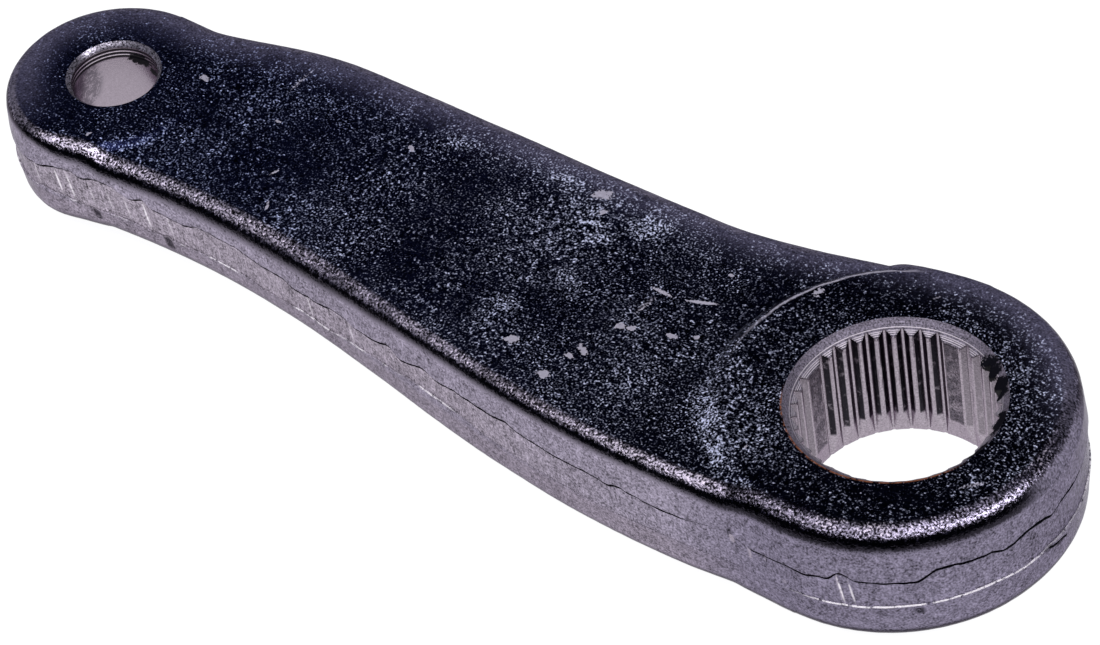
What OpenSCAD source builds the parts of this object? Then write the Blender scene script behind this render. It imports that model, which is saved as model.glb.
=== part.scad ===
// Pitman arm: one drop-forged steel lever that swings on a steering box's serrated sector shaft
// and carries the steering link's tapered ball stud at its other end.
// The origin is on the shaft bore's axis, at the bottom face of the shaft boss.
// +Z runs up along the bore and +X runs towards the stud hole.

/* [Arm] */
// Distance between the axes of the shaft bore and the stud hole
centre_distance = 155; // [140:1:180]
// Draft angle of the forged side walls
draft = 5; // [2:0.5:8]
// Height of the sheared band where the flash was trimmed off
trim_h = 5.6; // [3:0.2:7]
// Depth of the sheared band below the forged walls
trim_step = 0.3; // [0.1:0.1:0.8]

/* [Shaft boss] */
// Diameter of the shaft boss at the trimmed band
shaft_boss_d = 58.8; // [54:0.2:66]
// Height of the shaft boss's top face over the parting plane
shaft_boss_over = 11.2; // [10.4:0.1:14]
// Depth of the shaft boss's bottom face under the parting plane
shaft_boss_under = 12.2; // [11.8:0.1:15]
// Distance from the shaft's axis to the forged boss's own centre
shaft_boss_shift = 0.9; // [0.1:0.1:1.5]
// Radius of the shaft boss's rounded edges
shaft_edge_r = 3; // [1:0.25:4]

/* [Link boss] */
// Diameter of the link boss at the trimmed band
link_boss_d = 37.4; // [33:0.2:42]
// Height of the link boss's top face over the parting plane
link_boss_over = 8.5; // [8.2:0.1:10]
// Depth of the link boss's bottom face under the parting plane
link_boss_under = 9.8; // [9.1:0.1:11]
// Distance from the stud's axis to the forged boss's own centre, towards the near side
link_boss_shift = 0.3; // [0.1:0.1:0.5]
// Radius of the link boss's rounded edges
link_edge_r = 3; // [1:0.25:4]

/* [Web] */
// Height of the web's top face over the parting plane at the shaft's axis
web_shaft_over = 9.3; // [8.4:0.1:10.2]
// Depth of the web's bottom face under the parting plane at the shaft's axis
web_shaft_under = 11.3; // [9:0.1:11.6]
// Height of the web's top face over the parting plane at the stud's axis
web_link_over = 7.9; // [7.2:0.1:8.2]
// Depth of the web's bottom face under the parting plane at the stud's axis
web_link_under = 8.9; // [8:0.1:9.4]
// Radius of the web's rounded edges
web_edge_r = 3.5; // [1:0.25:4]
// How far the web's edges sink into the bosses where they run out
run_out = 0.3; // [0.2:0.1:0.8]
// How far the near edge swells past the shaft boss
near_swell = 1.1; // [0.2:0.1:3]
// Distance from the shaft's axis to the fullest place of the near edge
near_swell_x = 26; // [20:1:28]
// Distance from the shaft's axis to where the near edge starts to narrow
near_bend_x = 29; // [28:1:45]
// Half width of the near side at its waist
near_waist = 17.6; // [15:0.1:21]
// Distance from the stud's axis to the near waist
near_waist_x = 24; // [20:1:36]
// Half width of the far side at its waist
far_waist = 22.3; // [19:0.1:25]
// Distance from the shaft's axis to the far waist
far_waist_x = 48; // [40:1:56]
// Half width of the far side at its hip
far_hip = 23.5; // [20:0.1:26]
// Distance from the stud's axis to the far hip
far_hip_x = 35; // [32:1:48]
// How far the far edge falls inside the link boss at the stud's axis
far_notch = 0.6; // [0.3:0.1:2.5]

/* [Shaft bore] */
// Diameter over the crests of the serrations and over the plain lands
crest_d = 30; // [28:0.1:31]
// Diameter at the roots of the serrations
root_d = 32.1; // [31.4:0.1:33]
// Number of serration pitches in a full turn
pitches = 36; // [24:4:40]
// Number of plain lands, each of which takes the place of one groove
lands = 4; // [1:1:4]
// Included angle of a groove
groove_angle = 90; // [60:5:90]
// Diameter of the nut-side chamfer at the boss's top face
bore_chamfer_d = 34.2; // [33.6:0.1:37]
// Diameter of the lead-in at the boss's bottom face
lead_in_d = 31.5; // [31.2:0.1:36]
// Height of the lead-in
lead_in_h = 4.4; // [2:0.1:6]

/* [Stud hole] */
// Diameter of the tapered hole at its small end, in the link boss's top face
stud_hole_d = 14.4; // [12:0.1:16]
// Length over which the hole's diameter grows by one millimetre
taper_run = 8; // [6:0.5:12]
// Width of the chamfer at each end of the tapered hole
stud_chamfer = 0.85; // [0.3:0.05:1.5]

/* [Smoothness] */
// Steps across each rounded edge
edge_steps = 6; // [3:1:10]
// Stations along the web
stations = 48; // [24:2:64]

/* [Hidden] */
$fn = 96;
// How far each cut runs past the face it opens
cut_past = 1;
// How far each groove starts inside the place where its flanks meet the crest circle
groove_overlap = 0.2;
parting_z = shaft_boss_under;
shaft_boss_t = shaft_boss_over + shaft_boss_under;
shaft_r = shaft_boss_d / 2;
link_r = link_boss_d / 2;
crest_r = crest_d / 2;
root_r = root_d / 2;
link_top = parting_z + link_boss_over;
link_bottom = parting_z - link_boss_under;
link_boss_t = link_top - link_bottom;
stud_r_top = stud_hole_d / 2;
stud_r_bottom = stud_r_top + link_boss_t / taper_run / 2;
black_coat = [0.055, 0.06, 0.085];

// Smooth step from 0 at x0 to 1 at x1
function ease(x, x0, x1) = (1 - cos(180 * max(0, min(1, (x - x0) / (x1 - x0))))) / 2;

// Half widths of the web beside the centre line, at the trimmed band
function near_edge(x) =
    let (shoulder = shaft_r - run_out + near_swell * ease(x, 0, near_swell_x),
         waist_x = centre_distance - near_waist_x,
         narrowed = shoulder + (near_waist - shoulder) * ease(x, near_bend_x, waist_x))
    narrowed + (link_r - run_out - near_waist) * ease(x, waist_x, centre_distance);
function far_edge(x) =
    let (shoulder = shaft_r - run_out,
         hip_x = centre_distance - far_hip_x,
         waisted = shoulder + (far_waist - shoulder) * ease(x, 0, far_waist_x),
         hipped = waisted + (far_hip - far_waist) * ease(x, far_waist_x, hip_x))
    hipped + (link_r - far_notch - far_hip) * ease(x, hip_x, centre_distance);

// Height and depth of the web's faces from the parting plane
function along(x, at_shaft, at_link) = at_shaft + (at_link - at_shaft) * x / centre_distance;
function web_over(x) = along(x, web_shaft_over, web_link_over);
function web_under(x) = along(x, web_shaft_under, web_link_under);

// One half of a side wall as [inset, distance from the parting plane] points:
// half of the sheared band, the drafted wall and the rounded edge
function half_wall(reach, edge_r) =
    let (arc_z = reach - edge_r,
         touch_z = arc_z + edge_r * sin(draft),
         arc_in = edge_r * cos(draft) + (touch_z - trim_h / 2) * tan(draft))
    concat(
        [[trim_step, trim_h / 2], [0, trim_h / 2]],
        [for (i = [0 : edge_steps])
            let (a = draft + (90 - draft) * i / edge_steps)
            [arc_in - edge_r * cos(a), arc_z + edge_r * sin(a)]]);

// Whole side wall from its bottom edge to its top edge
function reversed(list) = [for (i = [len(list) - 1 : -1 : 0]) list[i]];
function side_wall(under, over, edge_r) =
    concat([for (p = reversed(half_wall(under, edge_r))) [p[0], -p[1]]], half_wall(over, edge_r));

// Round boss about the Z axis, set on the parting plane
module forged_boss(r, under, over, edge_r) {
    wall = side_wall(under, over, edge_r);
    rotate_extrude()
        polygon(concat([[0, -under]], [for (p = wall) [r - p[0], p[1]]], [[0, over]]));
}

// Web between the two axes, lofted through cross sections along X
function web_section(x) =
    let (wall = side_wall(web_under(x), web_over(x), web_edge_r))
    concat(
        [for (p = wall) [x, near_edge(x) - p[0], p[1]]],
        [for (p = reversed(wall)) [x, p[0] - far_edge(x), p[1]]]);

module forged_web() {
    sections = [for (i = [0 : stations]) web_section(centre_distance * i / stations)];
    n = len(sections[0]);
    polyhedron(
        points = [for (s = sections) for (p = s) p],
        faces = concat(
            [[for (k = [0 : n - 1]) k]],
            [for (i = [0 : stations - 1]) for (k = [0 : n - 1])
                let (a = i * n, b = a + n, next = (k + 1) % n)
                [a + k, b + k, b + next, a + next]],
            [[for (k = [n - 1 : -1 : 0]) stations * n + k]]));
}

// Where the flanks of a groove on the X axis meet the crest circle
function groove_mouth(flank) =
    (flank * flank * root_r + sqrt(crest_r * crest_r * (1 + flank * flank) - flank * flank * root_r * root_r))
    / (1 + flank * flank);

// Outline of the serrated bore: the crest circle with a groove at each pitch that isn't a land
module serrated_outline() {
    flank = tan(groove_angle / 2);
    inner_r = groove_mouth(flank) - groove_overlap;
    circle(crest_r);
    for (i = [0 : pitches - 1])
        if ((i * lands) % pitches != 0)
            rotate(i * 360 / pitches)
                polygon([
                    [inner_r, -(root_r - inner_r) * flank],
                    [root_r, 0],
                    [inner_r, (root_r - inner_r) * flank]]);
}

// Everything that is machined out of the shaft boss
module shaft_bore() {
    chamfer = bore_chamfer_d / 2 - crest_r;
    lead_in = lead_in_d / 2 - crest_r;
    spread = lead_in * cut_past / lead_in_h;
    translate([0, 0, -cut_past])
        linear_extrude(shaft_boss_t + 2 * cut_past) serrated_outline();
    translate([0, 0, shaft_boss_t - chamfer])
        cylinder(h = chamfer + cut_past, r1 = crest_r, r2 = crest_r + chamfer + cut_past);
    translate([0, 0, -cut_past])
        cylinder(h = lead_in_h + cut_past, r1 = crest_r + lead_in + spread, r2 = crest_r);
}

// Tapered hole for the link's ball stud, wide at the bottom
module stud_hole() {
    spread = cut_past / taper_run / 2;
    reach = stud_chamfer + cut_past;
    translate([0, 0, link_bottom - cut_past])
        cylinder(h = link_boss_t + 2 * cut_past, r1 = stud_r_bottom + spread, r2 = stud_r_top - spread);
    translate([0, 0, link_top - stud_chamfer])
        cylinder(h = reach, r1 = stud_r_top, r2 = stud_r_top + reach);
    translate([0, 0, link_bottom - cut_past])
        cylinder(h = reach, r1 = stud_r_bottom + reach, r2 = stud_r_bottom);
}

// The whole arm: web and bosses forged in one, then bored
module pitman_arm() {
    color(black_coat)
    difference() {
        translate([0, 0, parting_z]) union() {
            forged_web();
            translate([shaft_boss_shift, 0, 0])
                forged_boss(shaft_r, shaft_boss_under, shaft_boss_over, shaft_edge_r);
            translate([centre_distance, link_boss_shift, 0])
                forged_boss(link_r, link_boss_under, link_boss_over, link_edge_r);
        }
        shaft_bore();
        translate([centre_distance, 0, 0]) stud_hole();
    }
}

pitman_arm();
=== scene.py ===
import math

import bmesh
import bpy
from mathutils import Matrix, Vector, kdtree, noise


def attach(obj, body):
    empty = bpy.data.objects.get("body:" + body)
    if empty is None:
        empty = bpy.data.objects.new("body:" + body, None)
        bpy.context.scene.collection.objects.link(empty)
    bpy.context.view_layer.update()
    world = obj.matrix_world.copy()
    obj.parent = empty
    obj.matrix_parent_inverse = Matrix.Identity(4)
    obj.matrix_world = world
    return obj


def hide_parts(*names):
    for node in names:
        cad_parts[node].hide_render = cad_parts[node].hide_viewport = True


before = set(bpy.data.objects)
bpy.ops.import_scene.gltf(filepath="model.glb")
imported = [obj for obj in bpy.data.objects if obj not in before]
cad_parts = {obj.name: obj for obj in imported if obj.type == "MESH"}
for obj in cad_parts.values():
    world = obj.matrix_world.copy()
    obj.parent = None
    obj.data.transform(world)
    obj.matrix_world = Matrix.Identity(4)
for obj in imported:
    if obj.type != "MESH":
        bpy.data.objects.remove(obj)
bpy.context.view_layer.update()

mm = 0.001
print("frame loaded, nodes:", sorted(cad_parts))


# shader kit
class Val:
    # one value in a node tree; sums and products of these add Math nodes
    def __init__(self, paint, socket):
        self.paint = paint
        self.socket = socket

    def math(self, operation, *others, clamp=False):
        return self.paint.node("ShaderNodeMath", {"operation": operation, "use_clamp": clamp},
                               dict(enumerate((self,) + others)))

    def flipped(self, operation, other):
        return self.paint.node("ShaderNodeMath", {"operation": operation}, {0: other, 1: self})

    def __add__(self, other):
        return self.math("ADD", other)

    def __sub__(self, other):
        return self.math("SUBTRACT", other)

    def __mul__(self, other):
        return self.math("MULTIPLY", other)

    def __truediv__(self, other):
        return self.math("DIVIDE", other)

    def __pow__(self, other):
        return self.math("POWER", other)

    def __rsub__(self, other):
        return self.flipped("SUBTRACT", other)

    def __rtruediv__(self, other):
        return self.flipped("DIVIDE", other)

    __radd__ = __add__
    __rmul__ = __mul__

    def rise(self, low, high):
        # smooth step from 0 at low to 1 at high
        return self.paint.node("ShaderNodeMapRange", {"interpolation_type": "SMOOTHSTEP"},
                               {"Value": self, "From Min": low, "From Max": high})

    def limit(self):
        return self.math("ADD", 0.0, clamp=True)

    def top(self, other):
        return self.math("MAXIMUM", other)

    def least(self, other):
        return self.math("MINIMUM", other)

    def near(self, middle, inner, outer):
        # 1 within inner of the middle and 0 beyond outer
        return 1 - (self - middle).math("ABSOLUTE").rise(inner, outer)


class Paint:
    def __init__(self, name):
        self.material = bpy.data.materials.new(name)
        self.material.use_nodes = True
        self.tree = self.material.node_tree
        self.shader = self.tree.nodes["Principled BSDF"]
        self.place = self.node("ShaderNodeTexCoord", out="Object")

    def put(self, socket, value):
        if isinstance(value, Val):
            self.tree.links.new(value.socket, socket)
        elif hasattr(socket.default_value, "__len__") and len(value) < len(socket.default_value):
            socket.default_value = (*value, 1.0)
        else:
            socket.default_value = value

    def node(self, kind, settings=None, inputs=None, out=0):
        made = self.tree.nodes.new(kind)
        for name, value in (settings or {}).items():
            setattr(made, name, value)
        for name, value in (inputs or {}).items():
            self.put(made.inputs[name], value)
        return Val(self, made.outputs[out])

    def blend(self, share, first, second):
        return self.node("ShaderNodeMix", {"data_type": "RGBA"}, {0: share, 6: first, 7: second}, out=2)

    def tint(self, colour, amount):
        return self.node("ShaderNodeVectorMath", {"operation": "SCALE"}, {0: colour, "Scale": amount})

    def stretch(self, scale):
        return self.node("ShaderNodeVectorMath", {"operation": "MULTIPLY"}, {0: self.place, 1: scale})

    def grain(self, size, detail=2.0, rough=0.5, place=None, shift=0.0):
        # noise whose lumps are about this many millimetres
        source = place or self.place
        if shift:
            source = self.node("ShaderNodeVectorMath", {"operation": "ADD"}, {0: source, 1: (shift,) * 3})
        return self.node("ShaderNodeTexNoise", {},
                         {"Vector": source, "Scale": 1.0 / (size * mm), "Detail": detail, "Roughness": rough})

    def mark(self, name):
        return self.node("ShaderNodeAttribute", {"attribute_name": name}, out="Fac")

    def part(self, axis):
        return self.node("ShaderNodeSeparateXYZ", {}, {0: self.place}, out=axis) / mm

    def spot(self, middle, half, turn=0.0, lean=0.0, tilt=0.0):
        # 1 in the middle of a turned ellipsoid and 0 at its skin, given in millimetres
        local = self.node("ShaderNodeMapping", {"vector_type": "TEXTURE"}, {
            "Vector": self.place, "Location": [c * mm for c in middle],
            "Rotation": [math.radians(a) for a in (tilt, lean, turn)], "Scale": [h * mm for h in half]})
        distance = self.node("ShaderNodeVectorMath", {"operation": "LENGTH"}, {0: local}, out="Value")
        return 1 - distance.rise(0.3, 1.0)

    def most(self, marks):
        # the greatest of several values
        greatest, *others = marks
        for other in others:
            greatest = greatest.top(other)
        return greatest

    def bump(self, height, distance, strength):
        return self.node("ShaderNodeBump", {},
                         {"Height": height, "Distance": distance * mm, "Strength": strength})

    def finish(self, **inputs):
        for name, value in inputs.items():
            self.put(self.shader.inputs[name.replace("_", " ")], value)
        return self.material


# plan and heights of the forging, in millimetres
armForm = {
    "reach": 155.0,                  # from the shaft's axis to the stud's axis
    "parting": 12.2,                 # height of the trimmed band's middle
    "draft": 5.0,                    # degrees
    "trimHalf": 2.8,                 # where the drafted walls start
    # the bosses; slope is where the step round them lies, and blend how softly they meet the web
    "shaft": {"x": 0.9, "y": 0.0, "radius": 29.395, "over": 11.2, "under": 12.2, "edge": 3.0,
              "slope": (24.6, 31.2), "blend": 0.8},
    "link": {"x": 155.0, "y": 0.3, "radius": 18.7, "over": 8.5, "under": 9.8, "edge": 3.0,
             "slope": (14.4, 19.6), "blend": 0.4},
    "webOver": (9.3, 7.9),           # at the shaft's axis and at the stud's axis
    "webUnder": (11.3, 8.9),
    "nearSwell": (1.1, 26.0),        # how much and where the near edge swells
    "nearBend": 29.0,
    "nearWaist": (17.6, 24.0),       # half width, and distance from the stud's axis
    "farWaist": (22.3, 48.0),
    "farHip": (23.5, 35.0),
    "runOut": 0.3,
    "farNotch": 0.6,
    "columns": 1000,                 # points round the outline
    "setBack": 0.28,                 # the sheared band lies this far inside the walls
    "faceInset": 3.5,                # the walls take their height from the faces this far inside the outline
    "hiddenSpan": (52, 294),         # distances round the outline between which the side turns away
    "faceGrid": ((-24.7, 170.3, 3.0), (-26.4, 26.6, 2.9)),         # start, end and step, along x and along y
    "stepGrid": ((-26.0, 168.0, 0.75), (-29.0, 29.0, 0.75)),       # the same on the slopes round the bosses
    "swell": (0.16, 0.09),           # depth and pace of the skin's long waves
    "peel": (0.05, 0.75),            # and of its short ones
    "sharpAngle": 38,                # degrees past which an edge is shaded sharp
    "liftAcross": (-4, 14),          # y from which and up to which the near side's lift grows
    # how much higher the web's top runs along its near side, by distance from the shaft's axis
    "nearLift": ((0, 0.9), (12, 0.95), (26, 1.3), (50, 1.5), (64, 1.35), (76, 0.9), (86, 0.4), (97, -0.1),
                 (110, -0.35), (144, -0.35), (155, 0)),
    # radius of the rounded edges, by distance round the outline
    "edgeRadius": ((0, 4.0), (46, 4.0), (70, 3.5), (250, 3.0), (284, 2.5), (302, 2.4), (312, 3.8), (360, 4.0),
                   (376, 3.4), (390, 3.0), (440, 3.1), (454, 3.8)),
    # how bright the rounded edge is worn, by distance round the outline
    "edgeShine": ((0, 0.34), (16, 0.4), (25, 1.05), (34, 1.5), (46, 0.9), (70, 0.6), (250, 0.6), (296, 0.8),
                  (330, 0.95), (352, 1.1), (362, 1.5), (394, 1.4), (406, 0.55), (440, 0.5)),
    "awayFrom": (-0.682, 0.731),     # walls facing the other way carry a painted sheen along their upper edge
    "crackDepth": 0.34,
}
# height of the band's upper torn edge and lower edge, by distance round the outline
upperTear = (
    (0, 13.5), (2.5, 13.2), (6.5, 13.8), (9, 15.3), (11.5, 14.1), (20, 13.8), (24, 15.9), (32, 15.6),
    (34.5, 14.8), (39, 15.8), (42, 15.6), (44.5, 14.7), (47, 15.5), (53, 15.4), (294, 13.6), (298, 13.4),
    (303, 14.0), (308, 15.6), (311, 15.7), (313, 14.8), (316, 15.6), (318.5, 15.5), (323, 14.3), (326, 15.1),
    (327.5, 13.9), (334, 13.5), (338, 14.8), (345, 14.7), (352.5, 13.8), (356.5, 14.0), (359.5, 13.2),
    (364.5, 13.4), (368, 14.2), (371, 14.3), (373.5, 13.6), (377.5, 13.9), (382, 15.1), (384.5, 13.9),
    (390.5, 15.5), (393, 14.8), (397.5, 15.4), (405, 15.5), (409, 16.0), (411.5, 15.3), (420, 14.8),
    (427, 14.9), (429, 14.5), (431.5, 15.2), (433, 14.8), (438, 14.3), (443, 14.4), (448, 15.0), (452, 14.8),
    (455, 13.4), (461, 13.6),
)
lowerEdge = (
    (0, 8.5), (9, 8.6), (18.5, 8.9), (31.5, 9.1), (38.5, 8.7), (56, 8.7), (296, 8.8), (301, 8.9),
    (304.5, 9.6), (308, 9.5), (313.5, 8.6), (321, 9.0), (326, 8.6), (333, 8.6), (340, 9.0), (348, 8.9),
    (350, 8.4), (355, 8.4), (360.5, 9.0), (365.5, 8.6), (372, 9.3), (382, 9.9), (386, 10.6), (398, 10.6),
    (403.5, 9.6), (412, 9.2), (430, 8.9), (461, 8.6),
)
# how far the upper tear gapes, and how soft the lower edge is, by distance round the outline
tearGape = (
    (0, 0.7), (10, 0.5), (24, 1.0), (54, 1.0), (80, 0.6), (240, 0.6), (294, 0.4), (330, 0.35), (352, 0.5),
    (385, 0.75), (440, 0.8), (446, 0.3), (451, 0.05), (454, 0.8), (461, 0.7),
)
edgeSoft = (
    (0, 0.5), (7, 0.1), (56, 0.1), (296, 0.1), (392, 0.15), (404, 0.85), (452, 1.0), (459, 0.7),
)
# shear marks, nicks and pits: distance round, height, half length round, half height, depth
wallNicks = (
    (8.6, 11.8, 0.5, 3.0, 0.16), (10.2, 11.6, 0.4, 2.6, 0.12), (13.6, 11.2, 0.8, 2.2, 0.10),
    (308.6, 12.2, 0.5, 2.6, 0.15), (310.9, 12.0, 0.45, 2.6, 0.13), (326.4, 11.6, 0.55, 2.8, 0.17),
    (303.2, 12.0, 0.4, 2.4, 0.08), (317.0, 12.2, 0.4, 2.8, 0.08), (335.6, 11.6, 0.45, 2.6, 0.09),
    (362.6, 11.4, 0.5, 2.3, 0.11), (372.6, 11.6, 0.45, 2.0, 0.10), (388.0, 12.6, 0.45, 2.0, 0.12),
    (314.8, 7.4, 0.8, 1.0, 0.22), (329.8, 7.5, 0.9, 1.1, 0.24), (341.0, 7.0, 0.6, 0.6, 0.12),
    (451.6, 14.6, 0.5, 1.3, 0.22), (449.4, 12.9, 0.6, 0.4, 0.14), (454.6, 12.3, 0.5, 1.0, 0.18),
    (457.4, 12.6, 0.5, 0.5, 0.14), (460.8, 9.6, 1.3, 0.6, 0.13), (20.5, 7.3, 1.2, 0.7, 0.16),
    (437.2, 12.6, 0.5, 0.6, 0.10), (26.6, 14.4, 0.5, 1.1, 0.12), (43.2, 8.2, 1.2, 0.5, 0.2),
    (46.4, 6.9, 1.4, 0.5, 0.24), (120.0, 12.0, 0.5, 2.4, 0.12), (147.0, 12.0, 0.5, 2.6, 0.13),
    (171.0, 8.0, 0.9, 0.9, 0.2), (196.0, 11.8, 0.5, 2.5, 0.14), (221.0, 12.2, 0.5, 2.4, 0.11),
    (262.0, 12.0, 0.5, 2.6, 0.13), (76.0, 11.6, 0.6, 2.2, 0.12),
)


def ease(value, start, end):
    share = max(0.0, min(1.0, (value - start) / (end - start)))
    return (1 - math.cos(math.pi * share)) / 2


def softMax(first, second, reach):
    share = max(reach - abs(first - second), 0.0) / reach
    return max(first, second) + share * share * reach / 4


def nearEdge(x):
    swell, swellX = armForm["nearSwell"]
    waist, waistBack = armForm["nearWaist"]
    waistX = armForm["reach"] - waistBack
    shoulder = armForm["shaft"]["radius"] - armForm["runOut"] + swell * ease(x, 0, swellX)
    narrowed = shoulder + (waist - shoulder) * ease(x, armForm["nearBend"], waistX)
    end = armForm["link"]["radius"] - armForm["runOut"]
    return narrowed + (end - waist) * ease(x, waistX, armForm["reach"])


def farEdge(x):
    waist, waistX = armForm["farWaist"]
    hip, hipBack = armForm["farHip"]
    hipX = armForm["reach"] - hipBack
    shoulder = armForm["shaft"]["radius"] - armForm["runOut"]
    waisted = shoulder + (waist - shoulder) * ease(x, 0, waistX)
    hipped = waisted + (hip - waist) * ease(x, waistX, hipX)
    end = armForm["link"]["radius"] - armForm["farNotch"]
    return hipped + (end - hip) * ease(x, hipX, armForm["reach"])


def halfWidth(x, edge, side):
    # the web's edge or a boss, whichever stands further out, with a soft corner between
    width = edge(x)
    for boss in (armForm["shaft"], armForm["link"]):
        rest = boss["radius"] ** 2 - (x - boss["x"]) ** 2
        if rest > 0:
            width = softMax(width, math.sqrt(rest) + side * boss["y"], 1.0)
    return width


def outline(step=0.2):
    # round the shaft boss, along the far edge, round the link boss and back along the near edge
    shaft, link = armForm["shaft"], armForm["link"]
    span = link["x"] - shaft["x"]
    points = []
    for boss, start in ((shaft, 0.5), (link, -0.5)):
        count = int(math.pi * boss["radius"] / step)
        for i in range(count):
            turn = math.pi * (start + i / count)
            points.append((boss["x"] + boss["radius"] * math.cos(turn),
                           boss["y"] + boss["radius"] * math.sin(turn)))
        count = int(span / step)
        for i in range(count):
            if boss is shaft:
                x = shaft["x"] + span * i / count
                points.append((x, -halfWidth(x, farEdge, -1)))
            else:
                x = link["x"] - span * i / count
                points.append((x, halfWidth(x, nearEdge, 1)))
    return [Vector(p) for p in points]


def evenly(points, count):
    # the same closed line with evenly spaced points, and its length
    lengths = [0.0]
    for first, second in zip(points, points[1:] + points[:1]):
        lengths.append(lengths[-1] + (second - first).length)
    total = lengths[-1]
    spaced = []
    index = 0
    for i in range(count):
        wanted = total * i / count
        while lengths[index + 1] < wanted:
            index += 1
        share = (wanted - lengths[index]) / (lengths[index + 1] - lengths[index])
        spaced.append(points[index].lerp(points[(index + 1) % len(points)], share))
    return spaced, total


def between(stops, where, total):
    # value at a place on a closed line, eased from stop to stop
    loop = list(stops) + [(stops[0][0] + total, stops[0][1])]
    for (start, first), (end, second) in zip(loop, loop[1:]):
        if start <= where <= end:
            return first + (second - first) * ease(where, start, end)
    return loop[0][1]


def bossTop(boss, height, x, y):
    tangent = math.tan(math.radians(armForm["draft"]))
    edge = boss["edge"]
    flat = boss["radius"] - edge - (height - edge - armForm["trimHalf"]) * tangent
    out = math.hypot(x - boss["x"], y - boss["y"]) - flat
    if out <= 0:
        return height
    if out < edge * 0.95:
        return height - edge + math.sqrt(edge * edge - out * out)
    return height - edge * 0.7 - (out - edge * 0.95) * 3


def faceHeight(x, y, way):
    # distance of the top face (way "over") or the bottom face (way "under") from the parting plane
    shaftEnd, linkEnd = armForm["webOver" if way == "over" else "webUnder"]
    web = shaftEnd + (linkEnd - shaftEnd) * x / armForm["reach"]
    if way == "over" and 0 < x < armForm["reach"]:
        web += between(armForm["nearLift"], x, armForm["reach"]) * ease(y, *armForm["liftAcross"])
    shaft, link = armForm["shaft"], armForm["link"]
    raised = softMax(web, bossTop(shaft, shaft[way], x, y), shaft["blend"])
    return min(softMax(raised, bossTop(link, link[way], x, y), link["blend"]), shaft[way])


def wave(girth, pace, first, second):
    # noise along the outline
    return noise.noise(Vector((girth * pace, first, second)))


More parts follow.
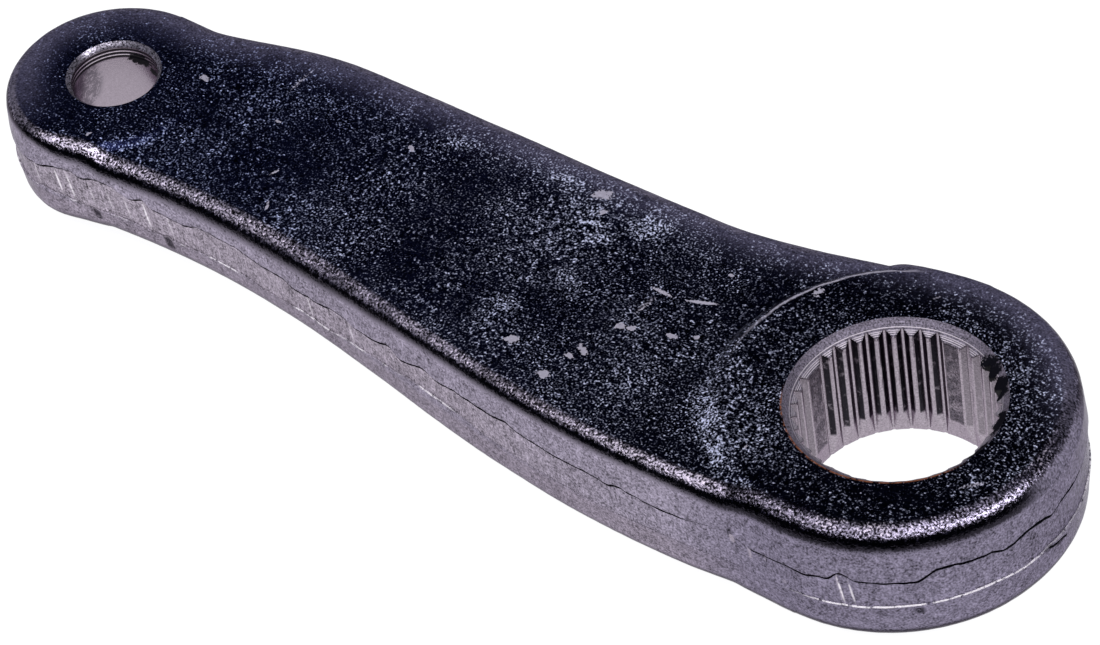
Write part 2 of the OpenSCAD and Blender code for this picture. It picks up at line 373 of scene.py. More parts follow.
class Column:
    # one place on the outline with everything that its wall needs
    def __init__(self, point, before, after, girth, total):
        along = (after - before).normalized()
        self.point = point
        self.out = Vector((along.y, -along.x))
        self.girth = girth
        inner = point - self.out * armForm["faceInset"]
        self.over = faceHeight(inner.x, inner.y, "over")
        self.under = faceHeight(inner.x, inner.y, "under")
        self.edge = between(armForm["edgeRadius"], girth, total)
        start, end = armForm["hiddenSpan"]
        hidden = ease(girth, start, start + 10) * ease(end - girth, 0, 8)
        ripple = 0.175 * wave(girth, 0.9, 1.7, 0.4)
        far = 0.9 * wave(girth, 0.23, 4.2, 1.3) + 0.5 * wave(girth, 0.55, 8.2, 2.3)
        self.tear = between(upperTear, girth, total) - armForm["parting"] + ripple + far * hidden
        far = 0.5 * wave(girth, 0.12, 6.2, 3.3)
        self.ledge = between(lowerEdge, girth, total) - armForm["parting"] + ripple * 0.35 + far * hidden
        gape = between(tearGape, girth, total) * (0.75 + 0.5 * wave(girth, 0.6, 2.2, 7.3))
        self.gape = max(0.03, min(1.0, gape))
        self.soft = between(edgeSoft, girth, total)
        self.shine = between(armForm["edgeShine"], girth, total) / 2
        self.away = ease(-self.out.dot(Vector(armForm["awayFrom"])), -0.75, 0.15)
        self.setBack = armForm["setBack"] * (0.9 + 0.3 * wave(girth, 0.15, 0.3, 5.5))

    def drafted(self, z):
        return max(0.0, (abs(z) - armForm["trimHalf"]) * math.tan(math.radians(armForm["draft"])))

    def banded(self, z):
        share = max(0.0, min(1.0, (z - self.ledge) / (self.tear - self.ledge)))
        return self.setBack * (1 - self.soft + self.soft * share)

    def rounded(self, reach):
        # the rounded edge as inset, height and share of the turn
        draft = math.radians(armForm["draft"])
        middle = reach - self.edge
        touch = middle + self.edge * math.sin(draft)
        inset = self.edge * math.cos(draft) + (touch - armForm["trimHalf"]) * math.tan(draft)
        steps = 10
        rows = []
        for i in range(steps + 1):
            turn = draft + (math.pi / 2 - draft) * i / steps
            rows.append((inset - self.edge * math.cos(turn), middle + self.edge * math.sin(turn), i / steps))
        return touch, rows + [(inset + 0.7, reach, 1.0)]

    def upper(self):
        # rows of inset, height and marks (edge, band, tear, ledge) from the band's middle to the top face
        middle = (self.tear + self.ledge) / 2
        crack = armForm["crackDepth"] * self.gape
        rows = []
        for i in range(5):
            z = middle + (self.tear - 0.8 - middle) * i / 4
            rows.append((self.banded(z), z, 0, 1, 0, 0))
        half = 0.20 + 0.09 * self.gape
        low = half * (0.75 + 0.5 * self.gape) + 0.2 * ease(self.girth, 32, 40) * ease(70 - self.girth, 0, 10)
        # painted shade along the tear, also on the rows beside it so that it shows from the side
        dark = min(1.0, 0.2 + 2.2 * self.gape ** 2) * ease(self.gape, 0.03, 0.12)
        rows.append((self.setBack, self.tear - low - 0.14, 0, 1, 0, 0))
        rows.append((self.setBack + 0.04, self.tear - low, 0, 0.8, 0.75 * dark, 0))
        rows.append((self.setBack + crack, self.tear, 0, 0.5, dark, 0))
        rows.append((0.10, self.tear + half * 0.6, 0, 0.2, 0.8 * dark, 0))
        for lift in (half + 0.05, 0.42):
            rows.append((self.drafted(self.tear + lift), self.tear + lift, 0, 0, 0, 0))
        touch, turn = self.rounded(self.over)
        for i in range(1, 6):
            z = self.tear + 0.42 + (touch - self.tear - 0.42) * i / 6
            rows.append((self.drafted(z), z, 0, 0, 0, 0))
        return rows + [(inset, z, share, 0, 0, 0) for inset, z, share in turn]

    def lower(self):
        middle = (self.tear + self.ledge) / 2
        hard = 1 - self.soft
        rows = []
        for i in range(1, 5):
            z = middle + (self.ledge + 0.15 - middle) * i / 4
            rows.append((self.banded(z), z, 0, 1, 0, 0))
        rows.append((self.banded(self.ledge) * 0.97, self.ledge + 0.04, 0, 0.8, 0, 0.8 * hard))
        rows.append((0.03, self.ledge - 0.05, 0, 0.2, 0, hard))
        rows.append((0.0, self.ledge - 0.25, 0, 0, 0, 0.15 * hard))
        touch, turn = self.rounded(self.under)
        for i in range(1, 6):
            z = self.ledge - 0.25 + (-touch - self.ledge + 0.25) * i / 6
            rows.append((self.drafted(z), z, 0, 0, 0, 0))
        return rows + [(inset, -z, share, 0, 0, 0) for inset, z, share in turn]


def nickDepth(girth, height):
    depth = 0.0
    for where, middle, halfLength, halfHeight, most in wallNicks:
        if abs(girth - where) < 3 * halfLength and abs(height - middle) < halfHeight * 1.4:
            slant = 0.16 * (middle - height)
            across = math.exp(-((girth - where - slant) / halfLength) ** 2)
            depth += most * across * ease(halfHeight * 1.4 - abs(height - middle), 0, halfHeight * 0.5)
    return depth


def ringEdges(verts):
    members = set(verts)
    return list(dict.fromkeys(e for v in verts for e in v.link_edges if e.other_vert(v) in members))


def newRing(bm, count):
    # a closed ring, its verts in order and its edges
    made = bmesh.ops.create_circle(bm, segments=count, radius=1.0)["verts"]
    ring = [made[0]]
    last = None
    while len(ring) < count:
        edge = next(e for e in ring[-1].link_edges if e is not last)
        ring.append(edge.other_vert(ring[-1]))
        last = edge
    return ring, ringEdges(ring)


def nextRing(bm, verts, edges, index=0):
    # one more ring of faces; the new verts come back in the old order
    made = bmesh.ops.extrude_edge_only(bm, edges=edges)["geom"]
    fresh = {g for g in made if isinstance(g, bmesh.types.BMVert)}
    ordered = [next(e.other_vert(v) for e in v.link_edges if e.other_vert(v) in fresh) for v in verts]
    newEdges = [g for g in made if isinstance(g, bmesh.types.BMEdge) and all(v in fresh for v in g.verts)]
    for face in made:
        if isinstance(face, bmesh.types.BMFace):
            face.material_index = index
    return ordered, newEdges


def stand(verts, columns, rows, layers):
    # sets one ring of the wall on its rows
    for vert, column, (inset, z, *marks) in zip(verts, columns, rows):
        height = z + armForm["parting"]
        depth = nickDepth(column.girth, height)
        spot = column.point - column.out * (inset + depth)
        vert.co = (spot.x, spot.y, height)
        for layer, mark in zip(layers, marks + [depth / 0.17, column.away, column.shine]):
            vert[layer] = mark


def cutGrid(bm, faces, axis, places):
    normal = Vector((0, 0, 0))
    normal[axis] = 1
    geom = list(faces)
    geom += dict.fromkeys(e for f in faces for e in f.edges)
    geom += dict.fromkeys(v for f in faces for v in f.verts)
    for place in places:
        geom = bmesh.ops.bisect_plane(bm, geom=geom, dist=1e-5, plane_co=normal * place,
                                      plane_no=normal)["geom"]
    return [g for g in geom if isinstance(g, bmesh.types.BMFace)]


def spread(start, end, step):
    count = max(1, round(abs(end - start) / step))
    return [start + (end - start) * i / count for i in range(count + 1)]


def atStep(face):
    # true where a face lies on the slope round a boss
    middle = face.calc_center_median()
    for boss in (armForm["shaft"], armForm["link"]):
        inside, outside = boss["slope"]
        if inside < math.hypot(middle.x - boss["x"], middle.y - boss["y"]) < outside:
            return True
    return False


def closeFace(bm, edges, way, layers, columns, nearest):
    # fills a ring with a gridded face and sets its heights
    ring = {v for e in edges for v in e.verts}
    faces = bmesh.ops.edgeloop_fill(bm, edges=edges)["faces"]
    for axis, lines in enumerate(armForm["faceGrid"]):
        faces = cutGrid(bm, faces, axis, spread(*lines))
    fine = [f for f in faces if atStep(f)]
    stepped = set(fine)
    rest = [f for f in faces if f not in stepped]
    for axis, lines in enumerate(armForm["stepGrid"]):
        fine = cutGrid(bm, fine, axis, spread(*lines))
    faces = [f for f in rest + fine if f.is_valid]
    side = 1 if way == "over" else -1
    for vert in {v for f in faces for v in f.verts}:
        vert.co.z = armForm["parting"] + side * faceHeight(vert.co.x, vert.co.y, way)
        if vert not in ring:
            for layer in layers:
                vert[layer] = 0.0
            # faces near a wall turned away carry its painted sheen a little way in
            _, index, distance = nearest.find((vert.co.x, vert.co.y, 0))
            vert[layers[5]] = columns[index].away * ease(10.5 - distance, 0, 8)
        vert[layers[0]] = 1.0
    return faces


def rimRing(bm, places, edgeLayer):
    verts, edges = newRing(bm, len(places))
    for vert, place in zip(verts, places):
        vert.co = place
        vert[edgeLayer] = 1.0
    return verts, edges


def openFace(bm, faces, middle, radius, rimEdges):
    # takes away the grid inside a hole's rim and joins what is left to the rim
    def close(face):
        return any(math.hypot(v.co.x - middle[0], v.co.y - middle[1]) < radius + 0.7 for v in face.verts)

    gone = [f for f in faces if f.is_valid and close(f)]
    leaving = set(gone)
    around = dict.fromkeys(e for f in gone for e in f.edges)
    ragged = [e for e in around if any(f not in leaving for f in e.link_faces)]
    bmesh.ops.delete(bm, geom=gone, context="FACES")
    ragged = [e for e in ragged if e.is_valid]
    filled = bmesh.ops.triangle_fill(bm, use_beauty=False, edges=ragged + rimEdges, normal=(0, 0, 1))["geom"]
    return [f for f in faces if f.is_valid] + [g for g in filled if isinstance(g, bmesh.types.BMFace)]


# the two holes
shaftBore = {
    "crest": 15.0,
    "root": 16.05,
    "rootFlat": 15.88,               # the grooves end in narrow flats
    "pitches": 36,
    "plainEvery": 9,                 # each ninth groove is left out
    "chamfer": 2.1,
    "leadIn": (0.75, 4.4),           # how much wider at the bottom, and how high up
    "offsets": (-4.17, -3.4, -2.5, -1.5, -0.6, 0.0, 0.6, 1.5, 2.5, 3.4, 4.17, 5.0),
    "top": 23.4,
}
studHole = {
    "x": armForm["reach"],
    "radius": 7.2,
    "taper": 1 / 16,                 # growth of the radius for each unit of depth
    "chamfer": 0.85,
    "top": 20.7,
    "bottom": 2.4,
    "columns": 192,
    "turnedRings": ((0.42, 0.1), (1.22, 0.09), (2.0, 0.08)),       # place under the chamfer, and depth
    "rim": 8.4,                      # the forged skin stays even up to here
}


def boreAngles():
    pitch = 360 / shaftBore["pitches"]
    return [math.radians(i * pitch + offset)
            for i in range(shaftBore["pitches"]) for offset in shaftBore["offsets"]]


def boreRadius(turn, z):
    pitch = 2 * math.pi / shaftBore["pitches"]
    number = round(turn / pitch - 1e-4)
    local = abs(turn - number * pitch)
    crest, root = shaftBore["crest"], shaftBore["root"]
    plain = number % shaftBore["plainEvery"] == 0
    lead, leadTop = shaftBore["leadIn"]
    leadRadius = crest + lead * max(0.0, 1 - z / leadTop)
    chamfer = crest + shaftBore["chamfer"] - (shaftBore["top"] - z)
    spot = Vector((math.cos(turn) * 9, math.sin(turn) * 9, z * 0.35))
    if plain:
        rough = 0.05 * (1 + noise.noise(spot * 1.1)) + 0.03 * noise.noise(spot * 3.1)
        groove = crest + max(0.0, rough) * ease(local, pitch * 0.6, pitch * 0.4) * ease(z, 3.6, 4.6)
    else:
        groove = root / (math.cos(local) + math.sin(local))
        if groove < crest + 0.25:
            groove += max(0.0, 0.05 * noise.noise(spot * 2.0))
        groove = min(groove, shaftBore["rootFlat"])
    return max(crest, groove, leadRadius, chamfer)


def boreLevels():
    top = shaftBore["top"]
    levels = [top - 0.15 * i for i in range(1, 15)]
    levels += spread(20.7, 5.4, 1.3)
    return levels + [4.9, 4.4, 3.9, 3.3, 2.6, 1.9, 1.2, 0.6, 0.25, 0.0]


def studRadius(z):
    depth = studHole["top"] - z
    radius = studHole["radius"] + studHole["taper"] * depth
    radius += max(0.0, studHole["chamfer"] - depth) + max(0.0, studHole["chamfer"] - (z - studHole["bottom"]))
    for under, groove in studHole["turnedRings"]:
        radius += groove * math.exp(-((depth - studHole["chamfer"] - under) / 0.2) ** 2)
    return radius


def studLevels():
    top, bottom, chamfer = studHole["top"], studHole["bottom"], studHole["chamfer"]
    levels = [top - chamfer * 0.5, top - chamfer + 0.03]
    levels += spread(top - chamfer - 0.03, top - chamfer - 2.6, 0.1)
    levels += spread(top - 3.8, bottom + chamfer + 0.05, 1.0)
    return levels + [bottom + chamfer * 0.5, bottom]


def sink(bm, verts, edges, levels, place):
    # carries a rim down through a hole's levels
    for z in levels:
        verts, edges = nextRing(bm, verts, edges, index=1)
        for i, vert in enumerate(verts):
            vert.co = place(i, z)
    return verts, edges


def buildArm():
    bm = bmesh.new()
    names = ("edgeTurn", "shearBand", "tearLine", "ledgeLine", "shearNick", "awaySide", "edgeShine")
    layers = [bm.verts.layers.float.new(name) for name in names]
    points, total = evenly(outline(), armForm["columns"])
    count = len(points)
    columns = [Column(points[i], points[i - 1], points[(i + 1) % count], total * i / count, total)
               for i in range(count)]
    nearest = kdtree.KDTree(count)
    for i, point in enumerate(points):
        nearest.insert((point.x, point.y, 0), i)
    nearest.balance()
    print("outline", round(total, 2), "mm round")

    # walls, from the band's middle up and then down
    upper = list(zip(*[c.upper() for c in columns]))
    lower = list(zip(*[c.lower() for c in columns]))
    middleRing, middleEdges = newRing(bm, count)
    stand(middleRing, columns, upper[0], layers)
    caps = {}
    for way, rows in (("over", upper[1:]), ("under", lower)):
        verts, edges = middleRing, middleEdges
        for row in rows:
            verts, edges = nextRing(bm, verts, edges)
            stand(verts, columns, row, layers)
        caps[way] = closeFace(bm, edges, way, layers, columns, nearest)
    print("walls and faces", len(bm.faces))

    # holes
    angles = boreAngles()
    topRadius = shaftBore["crest"] + shaftBore["chamfer"]

    def onBore(i, z):
        radius = boreRadius(angles[i], z)
        return (radius * math.cos(angles[i]), radius * math.sin(angles[i]), z)

    turns = [2 * math.pi * i / studHole["columns"] for i in range(studHole["columns"])]

    def onStud(i, z):
        radius = studRadius(z)
        return (studHole["x"] + radius * math.cos(turns[i]), radius * math.sin(turns[i]), z)

    studTop = studHole["top"]
    for middle, reach, number, place, top, levels in (
            ((0.0, 0.0), topRadius, len(angles), onBore, shaftBore["top"], boreLevels()),
            ((studHole["x"], 0.0), studRadius(studTop), len(turns), onStud, studTop, studLevels())):
        verts, edges = rimRing(bm, [place(i, top) for i in range(number)], layers[0])
        caps["over"] = openFace(bm, caps["over"], middle, reach, edges)
        verts, edges = sink(bm, verts, edges, levels, place)
        below = max(math.hypot(v.co.x - middle[0], v.co.y - middle[1]) for v in verts)
        caps["under"] = openFace(bm, caps["under"], middle, below, edges)
        for vert in verts:
            vert[layers[0]] = 1.0
    bmesh.ops.recalc_face_normals(bm, faces=bm.faces)
    print("holes sunk", len(bm.faces))

    # hammered unevenness of the forged skin, always inwards
    bm.normal_update()
    forged = {v for f in bm.faces if f.material_index == 0 for v in f.verts}
    bored = {v for f in bm.faces if f.material_index == 1 for v in f.verts}
    swellDepth, swellPace = armForm["swell"]
    peelDepth, peelPace = armForm["peel"]
    moves = []
    for vert in forged - bored:
        clear = min(math.hypot(vert.co.x, vert.co.y) - topRadius,
                    math.hypot(vert.co.x - studHole["x"], vert.co.y) - studHole["rim"])
        swell = 0.5 + 0.5 * noise.noise(vert.co * swellPace)
        peel = 0.5 + 0.5 * noise.noise(vert.co * peelPace + Vector((3.1, 0.2, 5.7)))
        moves.append((vert, -max(0.0, swellDepth * swell + peelDepth * peel) * ease(clear, 0.2, 5.0)))
    for vert, move in moves:
        vert.co += vert.normal * move
    for vert in bm.verts:
        vert.co.z = max(0.0, min(vert.co.z, shaftBore["top"]))
    bmesh.ops.transform(bm, matrix=Matrix.Scale(mm, 4), verts=bm.verts)
    bm.normal_update()
    for edge in bm.edges:
        edge.smooth = len(edge.link_faces) < 2 or edge.calc_face_angle() < math.radians(armForm["sharpAngle"])
    for face in bm.faces:
        face.smooth = True
    # extruding makes faces in no fixed order, so they are sorted by place
    for number, face in enumerate(sorted(bm.faces, key=lambda f: tuple(f.calc_center_median()))):
        face.index = number
    bm.faces.sort()
    mesh = bpy.data.meshes.new("forgedArm")
    bm.to_mesh(mesh)
    bm.free()
    arm = bpy.data.objects.new("forgedArm", mesh)
    bpy.context.scene.collection.objects.link(arm)
    return arm


# finishes
coatLook = {
    "wall": (0.262, 0.234, 0.302),   # along the web
    "bossWall": (0.178, 0.159, 0.222),
    "shear": (0.33, 0.29, 0.345),    # the sheared band along the web
    "foot": (0.255, 0.222, 0.276),   # below the band
    "face": (0.004, 0.0045, 0.013),
    "coldFace": (0.008, 0.010, 0.035),       # towards the stud hole
    "dust": (0.57, 0.60, 0.82),
    "coldDust": (0.46, 0.52, 0.84),
    # painted sheen on edges turned away from the camera
    "awaySheen": (0.060, 0.056, 0.092),
    "flake": (0.36, 0.34, 0.42),
    "worn": (0.50, 0.44, 0.52),
    # for the scratches across the band, and for the painted highlight on the lower ledge's lip
    "lip": (0.82, 0.775, 0.84),
    # near black for painted shade in the tear, the nicks and the gouge
    "sootAndShade": (0.004, 0.004, 0.006),
    "rust": (0.17, 0.064, 0.035),
    "roughness": 0.28,
    "edgeTint": (0.6, 0.58, 0.62),
}
# dusty places on the top: x, y, half length, half width, turn in degrees and strength
topScuffs = (
    (55.3, -13.5, 5.5, 4.0, 20, 0.8), (61.0, -8.0, 3.4, 2.4, 30, 1.0), (63.6, -10.4, 3.0, 0.9, 20, 1.4),
    (94.2, -14.8, 4.0, 3.0, 0, 0.6), (60.0, 2.4, 4.5, 3.0, 0, 0.7), (64.5, 12.2, 4.0, 3.0, 0, 0.7),
    (73.0, -16.0, 5.0, 2.0, 0, 0.8), (21.0, 17.0, 4.0, 3.0, 120, 0.6), (18.0, 21.5, 5.0, 2.2, 130, 0.8),
    (9.0, 26.0, 4.5, 2.0, 155, 0.8),
)
# scratches on the top: x, y, half length, half width, turn in degrees and strength
topScratches = (
    (45.2, -2.9, 3.3, 0.6, -3, 0.8), (38.5, -4.1, 4.1, 0.5, 20, 1.0), (45.8, 0.8, 3.9, 0.8, 84, 0.5),
    (126.4, -14.0, 5.6, 0.7, 89, 0.4), (116.7, 5.2, 1.8, 0.5, 70, 0.8), (-19.4, 9.2, 4.5, 0.7, 45, 0.6),
    (6.2, -21.0, 1.6, 0.5, 58, 0.6),
)
# flakes that stick to the coat: x, y, half length, half width and turn
topFlakes = (
    (66.3, -16.3, 2.4, 1.6, 30), (63.9, -13.1, 1.1, 0.7, 60), (46.1, 7.1, 1.4, 1.0, 0),
    (44.5, 6.6, 1.0, 0.8, 40), (38.1, 4.7, 1.4, 0.8, 10), (34.7, 2.9, 0.8, 0.6, 0),
    (47.8, 14.5, 1.9, 1.1, 150), (49.0, 16.5, 1.2, 0.9, 0), (58.9, 18.0, 1.7, 1.3, 20),
    (50.2, 21.6, 1.6, 1.2, 0), (22.6, -13.0, 1.7, 1.5, 0), (140.8, -6.7, 1.2, 1.0, 0),
    (100.2, -10.1, 1.3, 0.6, 150), (123.6, -4.7, 0.9, 0.5, 0), (112.9, 11.7, 1.6, 0.5, 120),
    (14.0, 19.3, 0.9, 0.4, 80), (149.3, 13.4, 1.0, 0.4, 60), (38.0, -11.2, 0.7, 0.5, 0),
)
# places where the rounded edge is rubbed bare: x, y and radius
bareEdges = (
    (162.6, 13.6, 3.4), (156.4, 15.7, 3.2), (150.6, 15.4, 3.2), (76.0, 20.5, 6.0), (68.0, 21.5, 6.0),
    (92.0, 17.0, 5.0), (17.8, 27.1, 4.0), (30.0, 27.0, 5.0), (-4.9, 24.0, 4.5), (-11.4, 23.0, 4.0),
    (-4.9, -27.0, 5.0), (-25.5, -2.1, 5.0), (112.0, 17.0, 6.0),
)
# scratches that the trimming left across the band: x, y, z, half height and strength
bandScratches = (
    (153.4, 19.0, 12.4, 2.6, 1.0), (151.1, 19.0, 12.2, 2.8, 0.9), (135.6, 18.0, 11.8, 3.0, 1.0),
    (158.4, 18.7, 12.0, 2.4, 0.5), (147.0, 18.8, 12.1, 2.6, 0.45), (143.2, 18.4, 12.0, 2.6, 0.4),
    (139.6, 18.2, 11.8, 2.6, 0.45), (130.6, 17.6, 11.5, 2.4, 0.5), (99.4, 20.0, 11.4, 2.2, 0.5),
    (89.6, 22.0, 11.6, 2.0, 0.5), (-7.6, 28.1, 11.6, 2.8, 0.9), (-9.2, 27.6, 11.4, 2.6, 0.7),
    (57.0, -22.0, 12.0, 2.6, 0.6), (84.0, -22.8, 12.0, 2.6, 0.7), (108.0, -23.4, 12.0, 2.6, 0.6),
)


def paintCoat():
    paint = Paint("blackForgedCoat")
    edge, band, nick = paint.mark("edgeTurn"), paint.mark("shearBand"), paint.mark("shearNick")
    tear, ledge, away = paint.mark("tearLine"), paint.mark("ledgeLine"), paint.mark("awaySide")
    shine = paint.mark("edgeShine") * 2
    x, y, z = (paint.part(axis) for axis in "XYZ")
    speck = paint.grain(0.35, 1.0)
    crumb = paint.grain(0.85, 3.0, 0.6, shift=0.05)
    lump = paint.grain(1.9, 3.0, 0.6, shift=0.17)
    patch = paint.grain(7.0, 3.0, 0.6)
    cloud = paint.grain(24.0, 2.0, 0.5, shift=0.31)
    tone = paint.grain(14.0, 3.0, 0.6, shift=0.12)
    mixed = speck * 0.7 + crumb * 0.3
    face = edge.rise(0.78, 1.0)
    atWeb = x.rise(4, 28)

    def onTop(middleX, middleY, halfLength, halfWidth, turn):
        return paint.spot((middleX, middleY, 21.6), (halfLength, halfWidth, 3.5), turn)

    # dust on the faces, thicker in the scuffs and along the steps round the bosses
    scuff = 0.5 * x.near(52, 14, 36) + 0.3 * x.near(90, 10, 30) + 0.3 * (1 - x.rise(-18, -8))
    scuff = scuff + (cloud - 0.5) * 2.8 + (patch - 0.5) * 2.4
    for *place, strength in topScuffs:
        scuff = scuff + onTop(*place) * strength * 1.7
    shaft, link = armForm["shaft"], armForm["link"]
    fromShaft = ((x - shaft["x"]) * (x - shaft["x"]) + y * y) ** 0.5 + (patch - 0.5) * 1.6
    fromLink = ((x - link["x"]) * (x - link["x"]) + y * y) ** 0.5 + (patch - 0.5) * 1.6
    above = z.rise(15, 16)
    shaftStep = fromShaft.near(28.2, 0.2, 2.2) * x.rise(2, 10) * y.rise(-8, 8) * lump.rise(0.3, 0.6)
    linkStep = fromLink.near(17.4, 0.1, 1.2) * (1 - x.rise(146, 156)) * lump.rise(0.35, 0.6) * 0.5
    scuff = scuff + (shaftStep + linkStep) * above
    thin = 0.6 * (1 - x.rise(0, 20)) * y.rise(8, 18) + 0.3 * x.rise(95, 125) + away
    dust = ((mixed + (scuff - thin) * 0.055 - 0.524) / 0.19).limit() ** 1.5 * face
    # the worn shoulder behind the shaft boss
    line = fromShaft.near(26.7, 0.08, 0.45) * x.rise(10, 15) * (1 - y.rise(-9, 8)) * above
    line = line * (0.2 + 1.3 * crumb)
    scratch = paint.most([onTop(*place) * strength for *place, strength in topScratches])
    line = line.top((scratch + (mixed - 0.5) * 2.0 - 0.2).rise(0.0, 0.6) * scratch.rise(0.0, 0.1)).limit()
    flake = paint.most([onTop(*place) for place in topFlakes])
    ragged = flake + (crumb - 0.5) * 3.0 + (speck - 0.5) * 1.2 - 0.3
    flake = ragged.rise(0.0, 0.3) * flake.rise(0.0, 0.1) * face * 0.85

    # coat rubbed through along the rounded edge
    bare = paint.most([paint.spot((middleX, middleY, 21.4), (radius, radius, 4.0))
                       for middleX, middleY, radius in bareEdges])
    corner = edge.rise(0.42, 0.6) * (1 - edge.rise(0.9, 1.0) * 0.7) * (1 - away)
    rub = (corner * (0.05 + 0.2 * patch + 0.1 * bare) + mixed * 1.4 - 0.92).rise(0.0, 0.36) * corner
    # painted sheen along the upper part of rounded edges on walls turned away from the camera, and on the
    # faces next to them
    awaySheen = away * edge.rise(0.3, 0.6) * above * (0.4 + 0.9 * patch).limit()
    # the boss's back keeps its grey up to the edge, without the painted dark band
    back = (1 - x.rise(-26, -22)) * (1 - y.rise(1, 8)) * above
    pale = back * edge.rise(0.02, 0.1) * (1 - edge.rise(0.4, 0.6))

    streak = paint.grain(0.4, 3.0, 0.65, place=paint.stretch((1.0, 1.0, 0.07)))
    coat = paint.blend(1 - z.rise(8.0, 9.6), coatLook["wall"], coatLook["foot"])
    coat = paint.blend(band * x.rise(15, 75) * 0.85, coat, coatLook["shear"])
    coat = paint.blend(atWeb, coatLook["bossWall"], coat)
    shade = 1 + (mixed - 0.5) * (3.6 + 8.0 * corner) + (lump - 0.5) * 1.2 + (tone - 0.5) * 0.5
    shade = shade + (streak - 0.5) * band * 1.1
    # painted shade: a band under the worn line is painted darker, widening the dark reflection that the
    # rounded edge shows there
    frayed = edge + (mixed - 0.5) * 0.5 + (lump - 0.5) * 0.2
    paintedDarkBand = frayed.rise(0.05 - 0.06 * atWeb, 0.16 + 0.18 * atWeb) * edge.rise(0.0, 0.04)
    paintedDarkBand = paintedDarkBand * (1 - frayed.rise(0.42, 0.54))
    shade = shade.top(0.04) * (1 - 0.88 * paintedDarkBand * (1 - back)) * (1 + (shine - 1) * corner)
    coat = paint.tint(coat, shade)
    flat = paint.blend(x.rise(-10, 100), coatLook["face"], coatLook["coldFace"])
    flat = paint.tint(flat, (1 + (mixed - 0.5) * 5.0 + (lump - 0.5) * 1.5).top(0.15))
    colour = paint.blend(face, coat, flat)
    colour = paint.blend(awaySheen, colour, paint.tint(coatLook["awaySheen"], 1 + (mixed - 0.5) * 3.5))
    grit = paint.blend(x.rise(85, 125), coatLook["dust"], coatLook["coldDust"])
    colour = paint.blend(dust, colour, grit)
    colour = paint.blend(rub.top(nick.rise(0.55, 0.95) * band * 0.5), colour, coatLook["worn"])
    scored = paint.most([paint.spot(middle, (0.26, 4.0, halfHeight + 0.7), lean=9) * strength
                         for *middle, halfHeight, strength in bandScratches])
    colour = paint.blend(scored * band * crumb.rise(0.3, 0.5), colour, coatLook["lip"])
    colour = paint.blend(flake.top(line), colour, coatLook["flake"])
    # painted highlight: the lip of the lower ledge is painted light, in patches along the web and fainter
    # behind the shaft boss
    shelf = ledge.rise(0.35, 0.8)
    lip = shelf * crumb.rise(0.36, 0.5) * (1 - atWeb * (1 - patch.rise(0.46, 0.6)))
    lip = lip * (1 - 0.65 * (1 - x.rise(-27.8, -26)) * (1 - y.rise(3, 7)))
    colour = paint.blend(lip, colour, coatLook["lip"])
    # painted shade: the pits of the nicks, the gouge and the tear line are painted near black where shade
    # falls in them
    pit = nick.rise(0.35, 0.9) * (1 - band) * (1 - edge.rise(0, 0.1)) * mixed.rise(0.38, 0.52)
    gouge = paint.spot((-28.4, 0.6, 7.5), (2.0, 3.8, 0.5), tilt=17.6)
    gouge = (gouge + (crumb - 0.5) * 1.6).rise(0.2, 0.45) * gouge.rise(0.0, 0.1)
    crack = tear.rise(0.12, 0.36).top(gouge)
    colour = paint.blend(crack.top(pit * 0.92), colour, coatLook["sootAndShade"])
    fromBore = (x * x + y * y) ** 0.5
    rim = (1 - fromBore.rise(17.2, 17.5)) * y.rise(5, 10) * z.rise(22, 23) * crumb.rise(0.34, 0.5)
    colour = paint.blend(rim, colour, coatLook["rust"])

    metallic = 1 - dust.top(0.14 * face) - rub * 0.5 - rim - flake - shelf - awaySheen - pale - line - crack
    roughness = coatLook["roughness"] + 0.1 * (tone - 0.5) + 0.3 * dust + 0.15 * rub - 0.1 * paintedDarkBand
    height = crumb * 0.8 + speck * 0.35 + streak * band * 1.2
    normal = paint.bump(height, 0.16, 0.8)
    return paint.finish(Base_Color=colour, Metallic=metallic.limit(), Roughness=roughness.limit(),
                        Normal=normal, Specular_Tint=coatLook["edgeTint"], Specular_IOR_Level=0.0)


boreLook = {
    "steel": (0.36, 0.315, 0.365),
    "stud": (0.35, 0.303, 0.356),
    "chamfer": (0.172, 0.152, 0.200),
    "lip": (0.27, 0.25, 0.31),
    # painted shade on the flanks of the grooves
    "flank": (0.010, 0.010, 0.014),
    "land": (0.13, 0.115, 0.14),
    "dull": (0.16, 0.14, 0.17),
    # black overspray, and painted shade in the turned grooves
    "sootAndShade": (0.004, 0.004, 0.007),
    "turned": (0.75, 0.68, 0.76),
    "edgeTint": (0.55, 0.5, 0.56),
}
# black overspray inside the holes: x, y, z and half sizes
overspray = (
    ((-8.4, -13.6, 22.0), (3.6, 3.6, 2.6)), ((-11.8, -10.6, 22.0), (3.4, 3.4, 2.6)),
    ((-15.6, -4.0, 22.6), (3.2, 4.0, 2.0)), ((-16.4, 3.0, 22.8), (2.6, 4.0, 1.6)),
    ((156.2, -7.8, 17.4), (4.2, 2.4, 2.0)), ((153.0, -8.0, 15.6), (2.4, 2.0, 1.6)),
)


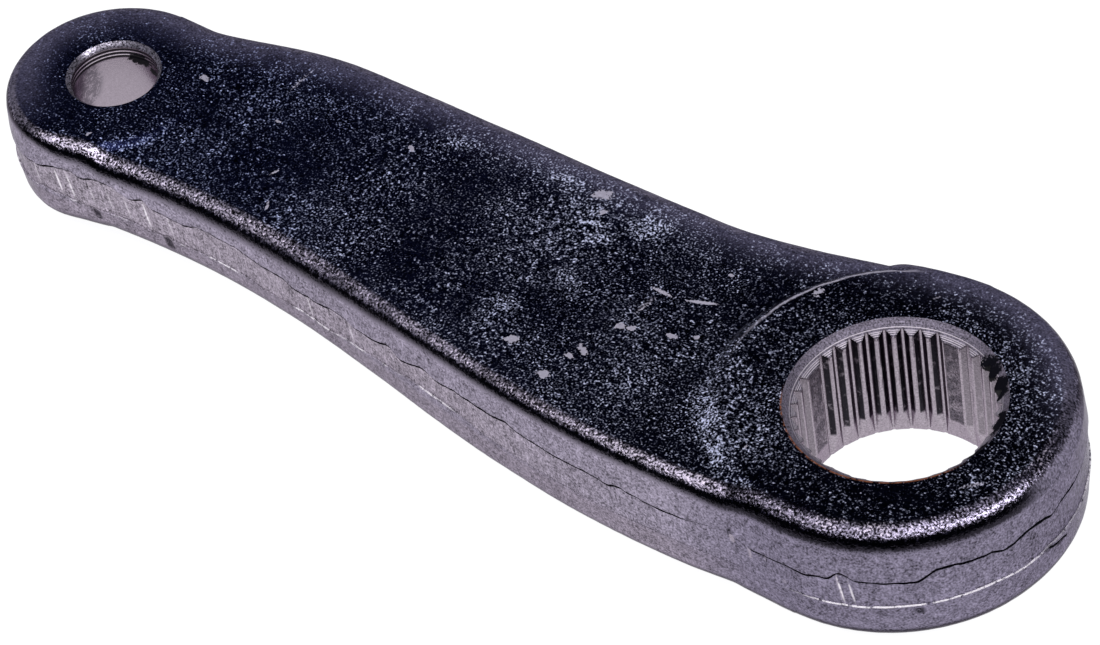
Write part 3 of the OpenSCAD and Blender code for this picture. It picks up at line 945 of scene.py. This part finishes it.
def paintBore():
    paint = Paint("boredSteel")
    x, y, z = (paint.part(axis) for axis in "XYZ")
    radius = (x * x + y * y) ** 0.5
    atShaft = 1 - x.rise(60, 80)
    speck = paint.grain(0.3, 2.0, 0.6)
    blotch = paint.grain(1.3, 3.0, 0.65)
    chamfer = z.rise(21.2, 21.4) * (1 - (radius - z + 6.3).rise(0.04, 0.12)) * atShaft
    leadIn = 1 - z.rise(4.0, 4.7)
    bared = (1 - chamfer) * (1 - leadIn) * atShaft
    flank = radius.rise(15.06, 15.2) * (1 - radius.rise(15.7, 15.84)) * bared
    across = x.math("ABSOLUTE").least(y.math("ABSOLUTE"))
    land = (1 - across.rise(1.2, 1.4)) * bared
    # the stud hole's chamfer and the turned rings under it
    under = studHole["top"] - studHole["chamfer"] - z
    lip = (1 - under.rise(-0.08, 0.02)) * (1 - atShaft)
    groove = paint.most([under.near(depth, 0.2, 0.32) for depth, _ in studHole["turnedRings"]])
    groove = groove * (1 - atShaft)
    ridge = paint.most([under.near(depth, 0.05, 0.14) for depth in (0.82, 1.61)]) * (1 - atShaft)
    dull = paint.spot((162.4, 1.0, 14.5), (4.5, 6.0, 8.0)).rise(0.1, 0.6)
    dull = dull * (speck * 0.5 + blotch * 0.5).rise(0.4, 0.54)
    sootAndShade = paint.most([paint.spot(middle, half) for middle, half in overspray])
    ragged = sootAndShade * 1.2 + (blotch - 0.5) * 2.4 + (speck - 0.5) * 1.2 - 0.55
    sootAndShade = ragged.rise(0.0, 0.12) * sootAndShade.rise(0.0, 0.15)

    colour = paint.blend(atShaft, boreLook["stud"], boreLook["steel"])
    colour = paint.blend(chamfer, colour, boreLook["chamfer"])
    colour = paint.blend(lip, colour, boreLook["lip"])
    # painted shade: the groove flanks are painted near black, darkest in the quarter between two lands that
    # faces the camera
    flankShade = 0.4 + 0.6 * x.rise(-1, 1) * (1 - y.rise(-1, 1))
    colour = paint.blend(flank * flankShade * (0.97 - 0.4 * blotch.rise(0.55, 0.7)), colour, boreLook["flank"])
    colour = paint.blend(land * (0.5 + 0.5 * blotch.rise(0.4, 0.6)), colour, boreLook["land"])
    colour = paint.blend(dull, colour, boreLook["dull"])
    shade = 1 + (speck - 0.5) * (0.5 + 0.8 * atShaft + 2.5 * chamfer + 6.0 * lip + 3.0 * land)
    colour = paint.tint(colour, shade.top(0.1))
    # lines left by the turning tool
    reach = paint.node("ShaderNodeCombineXYZ", {}, {0: radius * mm, 1: z * mm})
    rings = paint.grain(0.22, 2.0, 0.6, place=reach)
    bright = rings.rise(0.52, 0.62) * chamfer * (1 - radius.rise(15.9, 16.4))
    colour = paint.blend(bright.top(ridge), colour, boreLook["turned"])
    # black overspray, and painted shade in the turned grooves under the stud hole's chamfer
    colour = paint.blend(sootAndShade.top(groove * 0.95), colour, boreLook["sootAndShade"])
    height = rings * (0.4 + 0.7 * chamfer) + (speck + blotch) * (land * 1.2 + flank * 0.4)
    normal = paint.bump(height, 0.10, 0.6)
    metallic = 1 - 0.65 * chamfer - 0.3 * lip - sootAndShade - 0.8 * groove
    roughness = 0.2 + 0.25 * land + 0.2 * sootAndShade + 0.1 * blotch + 0.2 * chamfer
    return paint.finish(Base_Color=colour, Metallic=metallic.limit(), Roughness=roughness, Normal=normal,
                        Specular_Tint=boreLook["edgeTint"], Specular_IOR_Level=0.1)


arm = buildArm()
arm.data.materials.append(paintCoat())
arm.data.materials.append(paintBore())
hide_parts("pitman_arm")
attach(arm, "root")
print("arm", len(arm.data.polygons), "faces")


# floor, light and camera
studio = {
    "floor": (0.1, 0.1, 0.1),
    "glow": (0.97, 0.97, 0.98),      # light that the floor gives off itself
    "world": (0.010, 0.0125, 0.032),
    "floorHalf": 3.0,
    "floorDrop": 0.0003,             # just clear of the arm's underside
    # azimuth from +X towards +Y, elevation, distance, size and power
    "lights": {
        "keyBox": (75, 70, 1.3, (1.1, 1.0), 15),
        "rightBox": (186, 45, 1.4, (0.55, 0.55), 6.5),
        "frontBox": (133, 57, 1.3, (0.35, 0.3), 2.2),
    },
}


def makeFloor():
    bm = bmesh.new()
    bmesh.ops.create_grid(bm, x_segments=1, y_segments=1, size=studio["floorHalf"])
    bmesh.ops.translate(bm, vec=(0, 0, -studio["floorDrop"]), verts=bm.verts)
    mesh = bpy.data.meshes.new("paleFloor")
    bm.to_mesh(mesh)
    bm.free()
    floor = bpy.data.objects.new("paleFloor", mesh)
    bpy.context.scene.collection.objects.link(floor)
    paint = Paint("paleFloor")
    mesh.materials.append(paint.finish(Base_Color=studio["floor"], Roughness=0.9,
                                       Emission_Color=studio["glow"], Emission_Strength=1.0))


def makeLight(name, azimuth, elevation, distance, size, power):
    light = bpy.data.lights.new(name, "AREA")
    light.shape = "RECTANGLE"
    light.size, light.size_y = size
    light.energy = power
    lamp = bpy.data.objects.new(name, light)
    turn, rise = math.radians(azimuth), math.radians(elevation)
    away = Vector((math.cos(rise) * math.cos(turn), math.cos(rise) * math.sin(turn), math.sin(rise)))
    lamp.location = Vector((0.065, 0, 0)) + away * distance
    lamp.rotation_euler = away.to_track_quat("Z", "Y").to_euler()
    bpy.context.scene.collection.objects.link(lamp)


def makeWorld():
    world = bpy.data.worlds.new("studio")
    world.use_nodes = True
    world.node_tree.nodes["Background"].inputs[0].default_value = (*studio["world"], 1)
    bpy.context.scene.world = world


viewpoint = {
    "target": (0.062795, 0.004621, 0.0122),
    "distance": 0.772,
    "yaw": 132.994,                  # from +X towards +Y
    "pitch": 44.698,
    "roll": -9.587,
    "focal": 4917.9,                 # in pixels of a picture 1100 wide
}


def makeCamera():
    yaw, pitch, roll = (math.radians(viewpoint[k]) for k in ("yaw", "pitch", "roll"))
    back = Vector((math.cos(pitch) * math.cos(yaw), math.cos(pitch) * math.sin(yaw), math.sin(pitch)))
    right = Vector((0, 0, 1)).cross(back).normalized()
    up = back.cross(right)
    turned = right * math.cos(roll) + up * math.sin(roll)
    raised = up * math.cos(roll) - right * math.sin(roll)
    data = bpy.data.cameras.new("photoView")
    data.sensor_fit = "HORIZONTAL"
    data.sensor_width = 36.0
    data.lens = viewpoint["focal"] * data.sensor_width / 1100
    data.clip_start = 0.01
    camera = bpy.data.objects.new("photoView", data)
    pose = Matrix((turned, raised, back)).transposed().to_4x4()
    pose.translation = Vector(viewpoint["target"]) + back * viewpoint["distance"]
    camera.matrix_world = pose
    bpy.context.scene.collection.objects.link(camera)
    bpy.context.scene.camera = camera


makeFloor()
makeWorld()
for name, values in studio["lights"].items():
    makeLight(name, *values)
makeCamera()
bpy.context.scene.view_settings.view_transform = "Standard"
print("studio set")
